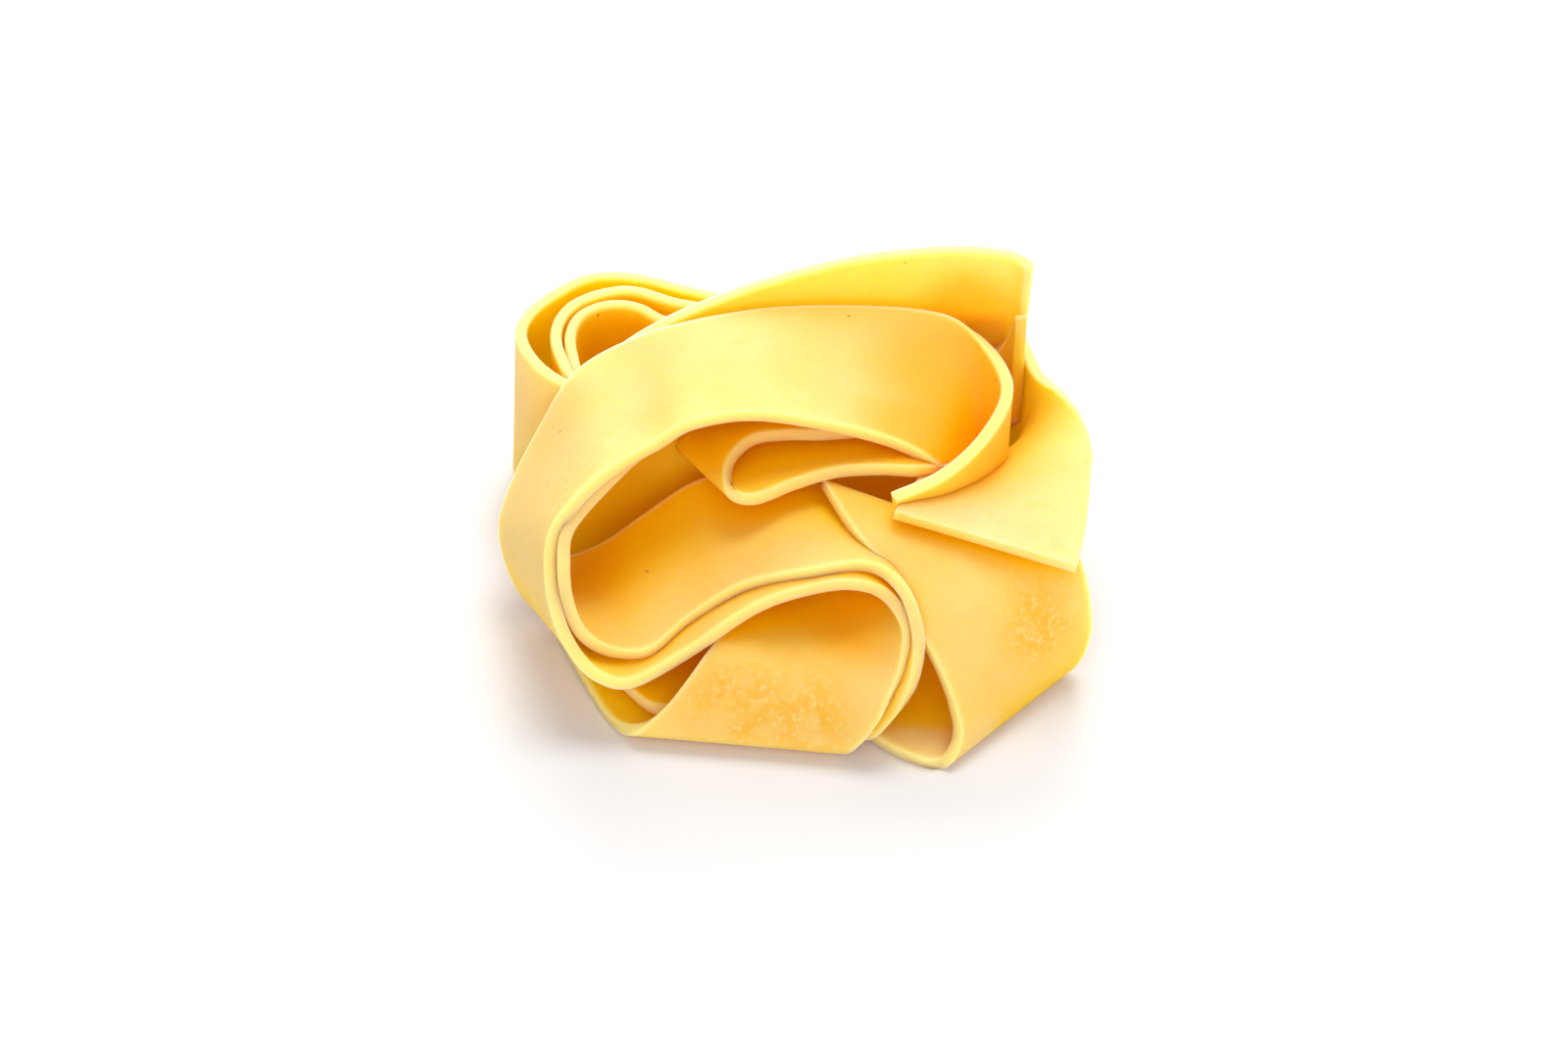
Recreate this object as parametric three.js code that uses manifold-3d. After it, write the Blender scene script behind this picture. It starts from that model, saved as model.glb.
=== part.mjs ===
// Dry pasta nest: wide, flat egg-pasta ribbons that were folded while soft and have dried as one piece.
// Millimetres, +Z up. The origin is on the surface that the nest stands on, under the middle of its box.
// Each ribbon is a strip between two smooth edge curves, of one thickness all along.
// The ribbons touch and have stuck together, so they are joined into one solid round a plain core.

import * as THREE from 'three';
import { mergeVertices } from 'three/addons/utils/BufferGeometryUtils.js';
import Module from 'manifold-3d';

// Driving dimensions.
const RIBBON_WIDTH = 21.5;
const RIBBON_THICKNESS = 1.4;
const SUNKEN_WIDTH = 17.5; // the middle wall, whose lower edge is sunk in the core
const TUCKED_WIDTH = 16; // the cut end beside the back wall
const STEPS_PER_STATION = 2; // spans that a ribbon has from one station to the next
const SPANS_PER_PIECE = 8; // a ribbon is joined from short pieces, so that it may cross itself
const CURVE_TENSION = 0.5;
const SECTION_SHARES = [0, 0.5, 1]; // where a ribbon's face has points across it, as shares of its width

// The core: a flat foot, a block under the roof and a hump under the crest.
const FOOT = { x: 1, y: 3, halfLength: 19, halfDepth: 14, height: 2.5 };
const BLOCK = { x: 1.5, y: 16.7, halfLength: 19, halfDepth: 7.3, height: 19 };
const HUMP = { x: 3, y: -3.5, halfLength: 13, halfDepth: 10.5, height: 7.5 };
const CORE_CURVE_POINTS = 8; // points on each quarter of a core outline
const CORE_SQUARENESS = 0.55; // 1 gives an ellipse, nearer 0 a squarer outline

const PASTA = { color: 0xf7cf6b, roughness: 0.62, metalness: 0 };

// Route lists. Each station is a straight line across the ribbon, from its near edge to its far edge:
// near x, y, z, then far x, y, z.

// The long top ribbon.
const MAIN_ROUTE = [
  // Cut end at the middle, front stretch and the turn at the right.
  [14, -3.5, 2.5, 11, -7, 22.5],
  [18.5, -1.5, 3, 17, -4.5, 24],
  [22, 0.5, 5, 22, 0.5, 26],
  [23.5, 1.5, 7, 24.5, 7.5, 27.3],
  [21, 1, 12.5, 22, 16, 27.5],
  // The arch, running left over the top.
  [16, 0, 21, 17.5, 20.5, 27.5],
  [9, 0.5, 25, 8, 22, 27.5],
  [-3.5, 0, 28.5, -3, 21.5, 27.5],
  [-11.5, -2, 29, -12.5, 19.5, 27],
  [-16, -3.5, 27, -19.5, 18, 25.5],
  [-20.9, -7.5, 26.4, -25.7, 13.5, 24.2],
  // Down the left side.
  [-24.1, -10, 24.9, -29.9, 10, 18.7],
  [-27.1, -13, 22, -33.6, 5, 13],
  [-27.5, -16.5, 18.5, -34.5, 1.5, 9.5],
  [-26.5, -19.5, 14.5, -32.5, -1.5, 4],
  [-24.5, -21, 10.5, -28.5, -3.5, 1.5],
  // Round the bottom and up to the crest.
  [-22, -22.2, 8.5, -24, -1.5, 2.5],
  [-18.5, -22.5, 8, -20, -1, 5],
  [-12.5, -20, 10, -14.5, 1, 8.5],
  [-5, -17, 14, -9, 4, 11],
  [0.5, -16.5, 16.3, -5, 3, 14],
  [6, -16, 17, 0, 2, 15],
  // Over the crest and down the front.
  [10, -17, 16.3, 5, 1, 14.2],
  [12.4, -20.5, 14.5, 7, -4, 12],
  [12, -23.3, 11.2, 0.5, -8, 9.2],
  [10.5, -25.4, 8.4, -6.3, -13.5, 9.8],
  [9.3, -26.5, 6, -9.8, -18.8, 9.6],
  [7.8, -26.9, 3.9, -14, -22.6, 5.6],
  // The fold on the ground, and back under the nest.
  [6.1, -26.7, 2, -17.5, -24, 2.8],
  [4.2, -25.2, 0.9, -19.7, -22.8, 1.2],
  [2.6, -22.5, 0.7, -21.8, -20.3, 0.8],
  [-1.5, -13.5, 0.7, -24.5, -15, 1],
  [-7, -5, 0.7, -28, -7, 1],
];

// The ribbon that lies against the inside of the long one.
const INNER_ROUTE = [
  // Under the arch.
  [4, 9, 23.5, 6, 21, 24.5],
  [-5, 6.5, 24.8, -5, 20.5, 25],
  [-12, 3, 25, -12.5, 18, 24.7],
  [-16.5, -1, 25, -19, 15.5, 23],
  // Down the left side.
  [-20.6, -6.2, 24.6, -25.2, 11.5, 21.2],
  [-25.4, -12, 22.2, -30.5, 7, 14.5],
  [-26, -15.8, 19.8, -32.8, 3, 9.5],
  [-25.6, -18, 16, -31, 0.5, 6],
  [-24.1, -19.3, 12.5, -26.5, 1, 6],
  // The floor of the hollow, up to the crest.
  [-21, -19.1, 9.6, -22, 0.5, 9],
  [-16.5, -19.3, 9.9, -17.5, 1.5, 12.3],
  [-12, -15.7, 11.5, -12, 4, 15],
  [-6, -14.1, 14.9, -6.5, 6, 15.2],
  [1, -15, 17.7, -2, 5, 15.8],
  [8, -14.4, 18.3, 1, 2.5, 16],
  // Over the crest, behind the front stretch of the long ribbon.
  [12, -17.5, 17.3, 6.5, 1.5, 15.2],
  [13.6, -21.5, 14, 8.6, -4, 11.5],
  [13.3, -24, 10.5, 1.2, -8, 7.8],
  [12.3, -25.2, 8, -5.8, -13, 8],
  [11, -25.7, 5.7, -10, -18.8, 6.6],
  // Its fold, inside the fold of the long ribbon.
  [9, -26, 3.6, -13.5, -21.6, 4.2],
  [6.5, -24, 2.2, -16.5, -21.2, 3],
  [3, -19, 1.9, -19.5, -18, 3],
  [-2.5, -9.5, 1.9, -24, -11, 2.5],
];

// The ribbon that slopes down to a fold at the front right.
const SLOPE_ROUTE = [
  [3, -1, 19.5, 24, -9, 16.5],
  [6.5, -9, 18.7, 29, -8.5, 16.3],
  [10, -13.5, 17.2, 31.5, -9, 15.8],
  [12, -17.5, 15.4, 32.5, -10, 14.8],
  [14, -20.5, 13, 33.2, -11.5, 12.5],
  [16, -23, 10, 33.6, -12, 9.5],
  [17.5, -25, 6.5, 33.6, -12, 6.5],
  [18, -26.5, 3.5, 33, -12, 3.5],
  [16.5, -28, 1, 31.5, -12, 1],
  [13.5, -27.5, 0.8, 28, -13, 0.8],
  [8.5, -24, 1.2, 23, -7, 0.8],
  [4, -17, 1.2, 17.5, 2, 0.8],
];

// The flap: a cut end that lies on the slope, then the outermost wall at the right and the back.
const FLAP_ROUTE = [
  [11, -8.5, 21, 31.5, -14.4, 18],
  [12.5, -5.5, 21, 33, -7.7, 18.5],
  [14.5, -1, 20, 34, -0.5, 19],
  [18, 4, 17, 34.5, 4.5, 20.5],
  [21, 9, 12.5, 33.5, 10, 21],
  [24.5, 14, 8, 31.5, 14.5, 21],
  [27.5, 20.5, 3.5, 29, 18.5, 20.8],
  [26.3, 27.9, 1.5, 26.3, 27.5, 21],
  [19, 30, 1, 19, 29.7, 22],
  [11, 30.9, 1, 11, 30.7, 22],
  [4, 31.7, 1, 4, 31.5, 22],
];

// The hairpin at the centre, its open side towards the front.
const HAIRPIN_ROUTE = [
  [17.5, 0.5, 20.3, 13, 17.5, 19.5],
  [13.5, -1.9, 22, 8, 16.5, 19],
  [9.5, -1.6, 22, 3.5, 17.5, 18.3],
  [4.5, -1.4, 21.4, -3, 17, 17],
  [0, -2.8, 20.9, -9, 15.5, 16],
  [-4.5, -5, 20.5, -13, 14, 15.5],
  [-7, -4.6, 20.7, -16, 14.5, 15.5],
  [-7.8, -2, 21, -17, 16.5, 16.5],
  [-7.3, 1, 21.5, -16.5, 20, 17],
  [-5, 3.7, 22, -14.5, 22, 18],
  [-1.5, 4, 22.5, -10.5, 22.5, 18.5],
  [3.5, 3.2, 23.2, -4.5, 22, 19.8],
  [9, 4, 23.2, 2, 22, 20.5],
];

// Ribbons that stand on edge. Each station is a point of the top edge, x, y, z, and how far the
// top edge leans out past the bottom edge along x.
const BACK_WALL = [
  [27.7, 21.6, 34.2, 1],
  [26.6, 22.9, 34.5, 0.8],
  [24.6, 23.8, 34.7, 0.4],
  [20, 24.4, 34.8, 0],
  [14, 24.6, 34.3, 0],
  [6, 24.6, 33, 0],
  [-2.5, 24, 30.7, 0],
  [-8.7, 23, 28.8, 0],
  [-14.3, 21.3, 27.1, 0],
  [-19, 18.5, 25.9, 0],
  [-23.2, 14.8, 24.7, 1],
];

const OUTER_LOOP = [
  [25.8, 26.3, 24.2, 0],
  [18, 28, 23.5, 0],
  [8, 29.3, 23, 0],
  [-1, 30, 22.7, 0],
  [-8, 31.2, 22.7, 0],
  [-13.5, 33, 22.8, 0],
  [-18.4, 34.9, 23, 0],
  [-22.5, 35.7, 23, 0.5],
  [-26, 35, 23, 0.8],
  [-29.5, 31.8, 23, 1.5],
  [-32, 28.4, 23, 1.5],
  [-33.2, 24.5, 23, 1.5],
  [-32.5, 20.6, 23, 1.5],
  [-30.2, 16.5, 23, 1.5],
  [-26.8, 13.4, 23, 1],
  [-22, 12, 23, 0],
  [-17, 11, 22.5, 0],
];

const MIDDLE_LOOP = [
  [26, 24.9, 25.5, 0],
  [10, 27, 23.3, 0],
  [-4, 28, 23, 0],
  [-13.4, 29.9, 22.8, 0],
  [-19.6, 32.5, 23, 0],
  [-23.2, 32.2, 23, 0],
  [-26.6, 30.2, 23, 0.5],
  [-28.5, 27, 23, 0.8],
  [-29, 23, 23, 0.8],
  [-28, 18.4, 23, 0.8],
  [-26, 14.4, 23, 0.8],
  [-21.2, 13.6, 22.6, 0],
  [-15, 12.5, 22, 0],
];

const INNER_LOOP = [
  [-1, 24.5, 22.6, 0],
  [-10, 25.2, 22.3, 0],
  [-16, 27.3, 22.4, 0],
  [-19, 29.5, 22.6, 0],
  [-21.8, 30.2, 22.7, 0],
  [-24.6, 29.4, 22.7, 0],
  [-26.5, 27.3, 22.7, 0],
  [-27.3, 23.9, 22.7, 0],
  [-26.9, 20, 22.7, 0],
  [-25.5, 15.8, 22.7, 0],
  [-20.5, 15, 22, 0],
  [-12, 14, 22, 0],
];

const MIDDLE_WALL = [
  [-29, 6, 18, 0],
  [-22, 8.5, 20, 0],
  [-12, 9, 21, 0],
  [-2, 8.5, 21, 0],
  [7, 8.5, 20, 0],
  [14, 8.3, 19, 0],
  [18.7, 9.6, 18.5, 0],
  [21.3, 13, 18.5, 0],
  [21.5, 18, 18.8, 0],
  [19, 22, 19.5, 0],
];

const TUCKED_END = [
  [26.8, 19.4, 28.6, 0],
  [26.4, 20.8, 26.5, 0],
  [24.5, 21.8, 22, 0],
  [20, 22.3, 18, 0],
];

const wasm = await Module();
wasm.setup();

// Returns the two edge curves of a ribbon from a route list.
function edgesOfRoute(route) {
  const near = route.map(([x, y, z]) => new THREE.Vector3(x, y, z));
  const far = route.map((station) => new THREE.Vector3(...station.slice(3)));
  return { near, far };
}

// Returns the two edges of a standing ribbon from the stations of its top edge.
// A ribbon whose lower edge is sunk in the core is given less width.
function edgesOfStanding(stations, width = RIBBON_WIDTH) {
  const far = stations.map(([x, y, z]) => new THREE.Vector3(x, y, z));
  const near = stations.map(([x, y, z, lean]) => {
    const drop = Math.sqrt(width ** 2 - lean ** 2);
    return new THREE.Vector3(x - lean, y, z - drop);
  });
  return { near, far };
}

// Samples a smooth curve through the points, evenly between one point and the next.
function sampleEdge(points) {
  const curve = new THREE.CatmullRomCurve3(points, false, 'catmullrom', CURVE_TENSION);
  return curve.getPoints((points.length - 1) * STEPS_PER_STATION);
}

// Returns the unit direction along a sampled line at one of its rows.
function directionAt(rows, index) {
  const before = rows[Math.max(index - 1, 0)];
  const after = rows[Math.min(index + 1, rows.length - 1)];
  return after.clone().sub(before).normalize();
}

// Returns the closed outlines across a ribbon, one for each row: down one face and back up the other.
function sectionsOfRibbon({ near, far }) {
  const nearRows = sampleEdge(near);
  const farRows = sampleEdge(far);
  const middleRows = nearRows.map((point, index) => point.clone().lerp(farRows[index], 0.5));
  return nearRows.map((nearPoint, index) => {
    const across = farRows[index].clone().sub(nearPoint);
    const normal = directionAt(middleRows, index).cross(across).setLength(RIBBON_THICKNESS / 2);
    const upper = SECTION_SHARES.map((share) => nearPoint.clone().addScaledVector(across, share).add(normal));
    const lower = SECTION_SHARES.map((share) => nearPoint.clone().addScaledVector(across, share).sub(normal));
    return [...upper, ...lower.reverse()];
  });
}

// Skins a run of closed outlines, with flat ends, as one closed geometry.
function skin(sections) {
  const ring = sections[0].length;
  const positions = sections.flat().flatMap((point) => point.toArray());
  const triangles = [];
  for (let row = 0; row < sections.length - 1; row += 1) {
    for (let side = 0; side < ring; side += 1) {
      const a = row * ring + side;
      const b = row * ring + ((side + 1) % ring);
      triangles.push(a, a + ring, b, b, a + ring, b + ring);
    }
  }
  const last = (sections.length - 1) * ring;
  for (let side = 0; side < ring / 2 - 1; side += 1) {
    const across = ring - 1 - side;
    triangles.push(side, side + 1, across, side + 1, across - 1, across);
    triangles.push(last + side, last + across, last + side + 1);
    triangles.push(last + side + 1, last + across, last + across - 1);
  }
  const geometry = new THREE.BufferGeometry();
  geometry.setAttribute('position', new THREE.Float32BufferAttribute(positions, 3));
  geometry.setIndex(triangles);
  return geometry;
}

// Turns a closed geometry into a solid that can be joined.
function toSolid(geometry) {
  const bare = geometry.clone();
  bare.deleteAttribute('normal');
  bare.deleteAttribute('uv');
  const merged = mergeVertices(bare);
  return new wasm.Manifold(new wasm.Mesh({
    numProp: 3,
    vertProperties: new Float32Array(merged.attributes.position.array),
    triVerts: new Uint32Array(merged.index.array),
  }));
}

// Returns the short closed pieces that make up a ribbon.
function ribbonPieces(edges) {
  const sections = sectionsOfRibbon(edges);
  const pieces = [];
  for (let start = 0; start < sections.length - 1; start += SPANS_PER_PIECE) {
    pieces.push(toSolid(skin(sections.slice(start, start + SPANS_PER_PIECE + 1))));
  }
  return pieces;
}

// Returns an upright core body on the ground, its outline between an ellipse and a rectangle.
function coreBody({ x, y, halfLength, halfDepth, height }) {
  const count = CORE_CURVE_POINTS * 4;
  const squared = (value) => Math.sign(value) * Math.abs(value) ** CORE_SQUARENESS;
  const outline = Array.from({ length: count }, (_, index) => {
    const angle = (index / count) * Math.PI * 2;
    return new THREE.Vector2(
      x + halfLength * squared(Math.cos(angle)),
      y + halfDepth * squared(Math.sin(angle)),
    );
  });
  return toSolid(new THREE.ExtrudeGeometry(new THREE.Shape(outline), { depth: height, bevelEnabled: false }));
}

// Joins all pieces and keeps the one body that they form, with any sealed hollow filled.
function joinPieces(pieces) {
  const joined = pieces.reduce((sum, piece) => sum.add(piece));
  const bodies = joined.decompose();
  return bodies.reduce((best, body) => (body.volume() > best.volume() ? body : best));
}

// Turns a joined solid back into a geometry, moved so that the origin is under the middle of its box.
function toGeometry(solid) {
  const mesh = solid.getMesh();
  const geometry = new THREE.BufferGeometry();
  geometry.setAttribute('position', new THREE.Float32BufferAttribute(mesh.vertProperties, 3));
  geometry.setIndex(Array.from(mesh.triVerts));
  geometry.computeBoundingBox();
  const centre = geometry.boundingBox.getCenter(new THREE.Vector3());
  geometry.translate(-centre.x, -centre.y, -geometry.boundingBox.min.z);
  geometry.computeVertexNormals();
  return geometry;
}

const routes = [MAIN_ROUTE, INNER_ROUTE, SLOPE_ROUTE, FLAP_ROUTE, HAIRPIN_ROUTE].map(edgesOfRoute);
const standing = [BACK_WALL, OUTER_LOOP, MIDDLE_LOOP, INNER_LOOP].map((wall) => edgesOfStanding(wall));
const sunken = edgesOfStanding(MIDDLE_WALL, SUNKEN_WIDTH);
const tucked = edgesOfStanding(TUCKED_END, TUCKED_WIDTH);
const ribbons = [...routes, ...standing, sunken, tucked].flatMap(ribbonPieces);
const core = [FOOT, BLOCK, HUMP].map(coreBody);

const nest = new THREE.Mesh(toGeometry(joinPieces([...core, ...ribbons])), new THREE.MeshStandardMaterial(PASTA));
nest.name = 'pasta_nest';

const group = new THREE.Group();
group.add(nest);

export default group;
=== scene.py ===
"""A dried nest of wide, flat egg-pasta ribbons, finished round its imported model.

The nest is a handful of long ribbons that were folded over each other while soft. Each ribbon is a
strip between two smooth edge curves, and every strip comes from one Geometry Nodes tree: it lays
rows across the two curves, ripples them a little, and roughens the cut edges. The strip then gets
its thickness and its rounded rim. Sizes in the route lists are millimetres, as on a drawing. They
are turned into metres, the unit of the frame, where a ribbon is built.
"""

import logging
import math
from dataclasses import dataclass, field
from enum import Enum
from typing import Any, Mapping, Sequence

import bmesh
import bpy
from mathutils import Matrix, Vector


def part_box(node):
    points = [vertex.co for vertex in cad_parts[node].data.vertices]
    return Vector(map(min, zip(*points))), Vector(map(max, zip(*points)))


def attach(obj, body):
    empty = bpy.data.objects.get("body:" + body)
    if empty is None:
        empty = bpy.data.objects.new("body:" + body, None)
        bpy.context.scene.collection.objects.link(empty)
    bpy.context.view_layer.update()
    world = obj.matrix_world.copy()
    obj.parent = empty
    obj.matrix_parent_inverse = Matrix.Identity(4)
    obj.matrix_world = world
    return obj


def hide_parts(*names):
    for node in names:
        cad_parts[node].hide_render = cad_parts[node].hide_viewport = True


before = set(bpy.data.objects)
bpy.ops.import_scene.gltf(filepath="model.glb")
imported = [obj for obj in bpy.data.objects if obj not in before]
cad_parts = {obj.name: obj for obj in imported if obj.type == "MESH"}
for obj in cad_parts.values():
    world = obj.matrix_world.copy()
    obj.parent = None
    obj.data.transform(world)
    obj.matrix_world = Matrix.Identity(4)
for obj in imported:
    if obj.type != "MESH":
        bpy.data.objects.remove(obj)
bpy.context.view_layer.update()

LOG = logging.getLogger("pasta_nest")

MM = 0.001
NODE = "pasta_nest"
BODY = "root"

RIBBON_WIDTH = 21.5
RIBBON_THICKNESS = 1.4
MIDDLE_WALL_WIDTH = 17.5
TUCKED_END_WIDTH = 16.0

# The names of two values that the strips carry: where a point lies on its ribbon, and the far edge
# that belongs to a near edge. On the flat grid and on its map, an edge lies MAP_EDGE from the middle.
STRIP_MAP = "strip_map"
FAR_EDGE = "far_edge"
MAP_EDGE = 0.5

Row = tuple[float, ...]
Colour = tuple[float, float, float]
Place = tuple[float, float, float]
Span = tuple[float, float]

# Route lists. Each row is a straight line across a ribbon, from its near edge to its far edge, in
# millimetres: near x, y, z, then far x, y, z.

TOP_ROUTE: list[Row] = [
    # Cut end at the middle, front stretch and the turn at the right.
    (14, -3.5, 2.5, 11, -7, 22.5),
    (18.5, -1.5, 3, 17, -4.5, 24),
    (22, 0.5, 5, 22, 0.5, 26),
    (23.5, 1.5, 7, 24.5, 7.5, 27.3),
    (21, 1, 12.5, 22, 16, 27.5),
    # The arch, running left over the top.
    (16, 0, 21, 17.5, 20.5, 27.5),
    (9, 0.5, 25, 8, 22, 27.5),
    (-3.5, 0, 28.5, -3, 21.5, 27.5),
    (-11.5, -2, 29, -12.5, 19.5, 27),
    (-16, -3.5, 27, -19.5, 18, 25.5),
    (-20.9, -7.5, 26.4, -25.7, 13.5, 24.2),
    # Down the left side.
    (-24.1, -10, 24.9, -29.9, 10, 18.7),
    (-27.1, -13, 22, -33.6, 5, 13),
    (-27.5, -16.5, 18.5, -34.5, 1.5, 9.5),
    (-26.5, -19.5, 14.5, -32.5, -1.5, 4),
    (-24.5, -21, 10.5, -28.5, -3.5, 1.5),
    # Round the bottom and up to the crest.
    (-22, -22.2, 8.5, -24, -1.5, 2.5),
    (-18.5, -22.5, 8, -20, -1, 5),
    (-12.5, -20, 10, -14.5, 1, 8.5),
    (-5, -17, 14, -9, 4, 11),
    (0.5, -16.5, 16.3, -5, 3, 14),
    (6, -16, 17, 0, 2, 15),
    # Over the crest and down the front.
    (10, -17, 16.3, 5, 1, 14.2),
    (12.4, -20.5, 14.5, 7, -4, 12),
    (12, -23.3, 11.2, 0.5, -8, 9.2),
    (10.5, -25.4, 8.4, -6.3, -13.5, 9.8),
    (9.3, -26.5, 6, -9.8, -18.8, 9.6),
    (7.8, -26.9, 3.9, -14, -22.6, 5.6),
    # The fold on the ground, and back under the nest.
    (6.1, -26.7, 2, -17.5, -24, 2.8),
    (4.2, -25.2, 0.9, -19.7, -22.8, 1.2),
    (2.6, -22.5, 0.7, -21.8, -20.3, 0.8),
    (-1.5, -13.5, 0.7, -24.5, -15, 1),
    (-7, -5, 0.7, -28, -7, 1),
]

INNER_ROUTE: list[Row] = [
    # Under the arch.
    (4, 9, 23.5, 6, 21, 24.5),
    (-5, 6.5, 24.8, -5, 20.5, 25),
    (-12, 3, 25, -12.5, 18, 24.7),
    (-16.5, -1, 25, -19, 15.5, 23),
    # Down the left side.
    (-20.6, -6.2, 24.6, -25.2, 11.5, 21.2),
    (-25.4, -12, 22.2, -30.5, 7, 14.5),
    (-26, -15.8, 19.8, -32.8, 3, 9.5),
    (-25.6, -18, 16, -31, 0.5, 6),
    (-24.1, -19.3, 12.5, -26.5, 1, 6),
    # The floor of the hollow, up to the crest.
    (-21, -19.1, 9.6, -22, 0.5, 9),
    (-16.5, -19.3, 9.9, -17.5, 1.5, 12.3),
    (-12, -15.7, 11.5, -12, 4, 15),
    (-6, -14.1, 14.9, -6.5, 6, 15.2),
    (1, -15, 17.7, -2, 5, 15.8),
    (8, -14.4, 18.3, 1, 2.5, 16),
    # Over the crest, behind the front stretch of the top ribbon.
    (12, -17.5, 17.3, 6.5, 1.5, 15.2),
    (13.6, -21.5, 14, 8.6, -4, 11.5),
    (13.3, -24, 10.5, 1.2, -8, 7.8),
    (12.3, -25.2, 8, -5.8, -13, 8),
    (11, -25.7, 5.7, -10, -18.8, 6.6),
    # Its fold, inside the fold of the top ribbon.
    (9, -26, 3.6, -13.5, -21.6, 4.2),
    (6.5, -24, 2.2, -16.5, -21.2, 3),
    (3, -19, 1.9, -19.5, -18, 3),
    (-2.5, -9.5, 1.9, -24, -11, 2.5),
]

SLOPE_ROUTE: list[Row] = [
    (3, -1, 19.5, 24, -9, 16.5),
    (6.5, -9, 18.7, 29, -8.5, 16.3),
    (10, -13.5, 17.2, 31.5, -9, 15.8),
    (12, -17.5, 15.4, 32.5, -10, 14.8),
    (14, -20.5, 13, 33.2, -11.5, 12.5),
    (16, -23, 10, 33.6, -12, 9.5),
    (17.5, -25, 6.5, 33.6, -12, 6.5),
    (18, -26.5, 3.5, 33, -12, 3.5),
    (16.5, -28, 1, 31.5, -12, 1),
    (13.5, -27.5, 0.8, 28, -13, 0.8),
    (8.5, -24, 1.2, 23, -7, 0.8),
    (4, -17, 1.2, 17.5, 2, 0.8),
]

FLAP_ROUTE: list[Row] = [
    (11, -8.5, 21, 31.5, -14.4, 18),
    (12.5, -5.5, 21, 33, -7.7, 18.5),
    (14.5, -1, 20, 34, -0.5, 19),
    (18, 4, 17, 34.5, 4.5, 20.5),
    (21, 9, 12.5, 33.5, 10, 21),
    (24.5, 14, 8, 31.5, 14.5, 21),
    (27.5, 20.5, 3.5, 29, 18.5, 20.8),
    (26.3, 27.9, 1.5, 26.3, 27.5, 21),
    (19, 30, 1, 19, 29.7, 22),
    (11, 30.9, 1, 11, 30.7, 22),
    (4, 31.7, 1, 4, 31.5, 22),
]

HAIRPIN_ROUTE: list[Row] = [
    (17.5, 0.5, 20.3, 13, 17.5, 19.5),
    (13.5, -1.9, 22, 8, 16.5, 19),
    (9.5, -1.6, 22, 3.5, 17.5, 18.3),
    (4.5, -1.4, 21.4, -3, 17, 17),
    (0, -2.8, 20.9, -9, 15.5, 16),
    (-4.5, -5, 20.5, -13, 14, 15.5),
    (-7, -4.6, 20.7, -16, 14.5, 15.5),
    (-7.8, -2, 21, -17, 16.5, 16.5),
    (-7.3, 1, 21.5, -16.5, 20, 17),
    (-5, 3.7, 22, -14.5, 22, 18),
    (-1.5, 4, 22.5, -10.5, 22.5, 18.5),
    (3.5, 3.2, 23.2, -4.5, 22, 19.8),
    (9, 4, 23.2, 2, 22, 20.5),
]

# Ribbons that stand on edge. Each row is a point of the top edge, x, y, z, and how far the top edge
# leans out past the bottom edge along x.

BACK_WALL: list[Row] = [
    (27.7, 21.6, 34.2, 1),
    (26.6, 22.9, 34.5, 0.8),
    (24.6, 23.8, 34.7, 0.4),
    (20, 24.4, 34.8, 0),
    (14, 24.6, 34.3, 0),
    (6, 24.6, 33, 0),
    (-2.5, 24, 30.7, 0),
    (-8.7, 23, 28.8, 0),
    (-14.3, 21.3, 27.1, 0),
    (-19, 18.5, 25.9, 0),
    (-23.2, 14.8, 24.7, 1),
]

OUTER_LOOP: list[Row] = [
    (25.8, 26.3, 24.2, 0),
    (18, 28, 23.5, 0),
    (8, 29.3, 23, 0),
    (-1, 30, 22.7, 0),
    (-8, 31.2, 22.7, 0),
    (-13.5, 33, 22.8, 0),
    (-18.4, 34.9, 23, 0),
    (-22.5, 35.7, 23, 0.5),
    (-26, 35, 23, 0.8),
    (-29.5, 31.8, 23, 1.5),
    (-32, 28.4, 23, 1.5),
    (-33.2, 24.5, 23, 1.5),
    (-32.5, 20.6, 23, 1.5),
    (-30.2, 16.5, 23, 1.5),
    (-26.8, 13.4, 23, 1),
    (-22, 12, 23, 0),
    (-17, 11, 22.5, 0),
]

MIDDLE_LOOP: list[Row] = [
    (26, 24.9, 25.5, 0),
    (10, 27, 23.3, 0),
    (-4, 28, 23, 0),
    (-13.4, 29.9, 22.8, 0),
    (-19.6, 32.5, 23, 0),
    (-23.2, 32.2, 23, 0),
    (-26.6, 30.2, 23, 0.5),
    (-28.5, 27, 23, 0.8),
    (-29, 23, 23, 0.8),
    (-28, 18.4, 23, 0.8),
    (-26, 14.4, 23, 0.8),
    (-21.2, 13.6, 22.6, 0),
    (-15, 12.5, 22, 0),
]

INNER_LOOP: list[Row] = [
    (-1, 24.5, 22.6, 0),
    (-10, 25.2, 22.3, 0),
    (-16, 27.3, 22.4, 0),
    (-19, 29.5, 22.6, 0),
    (-21.8, 30.2, 22.7, 0),
    (-24.6, 29.4, 22.7, 0),
    (-26.5, 27.3, 22.7, 0),
    (-27.3, 23.9, 22.7, 0),
    (-26.9, 20, 22.7, 0),
    (-25.5, 15.8, 22.7, 0),
    (-20.5, 15, 22, 0),
    (-12, 14, 22, 0),
]

MIDDLE_WALL: list[Row] = [
    (-29, 6, 18, 0),
    (-22, 8.5, 20, 0),
    (-12, 9, 21, 0),
    (-2, 8.5, 21, 0),
    (7, 8.5, 20, 0),
    (14, 8.3, 19, 0),
    (18.7, 9.6, 18.5, 0),
    (21.3, 13, 18.5, 0),
    (21.5, 18, 18.8, 0),
    (19, 22, 19.5, 0),
]

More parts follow.
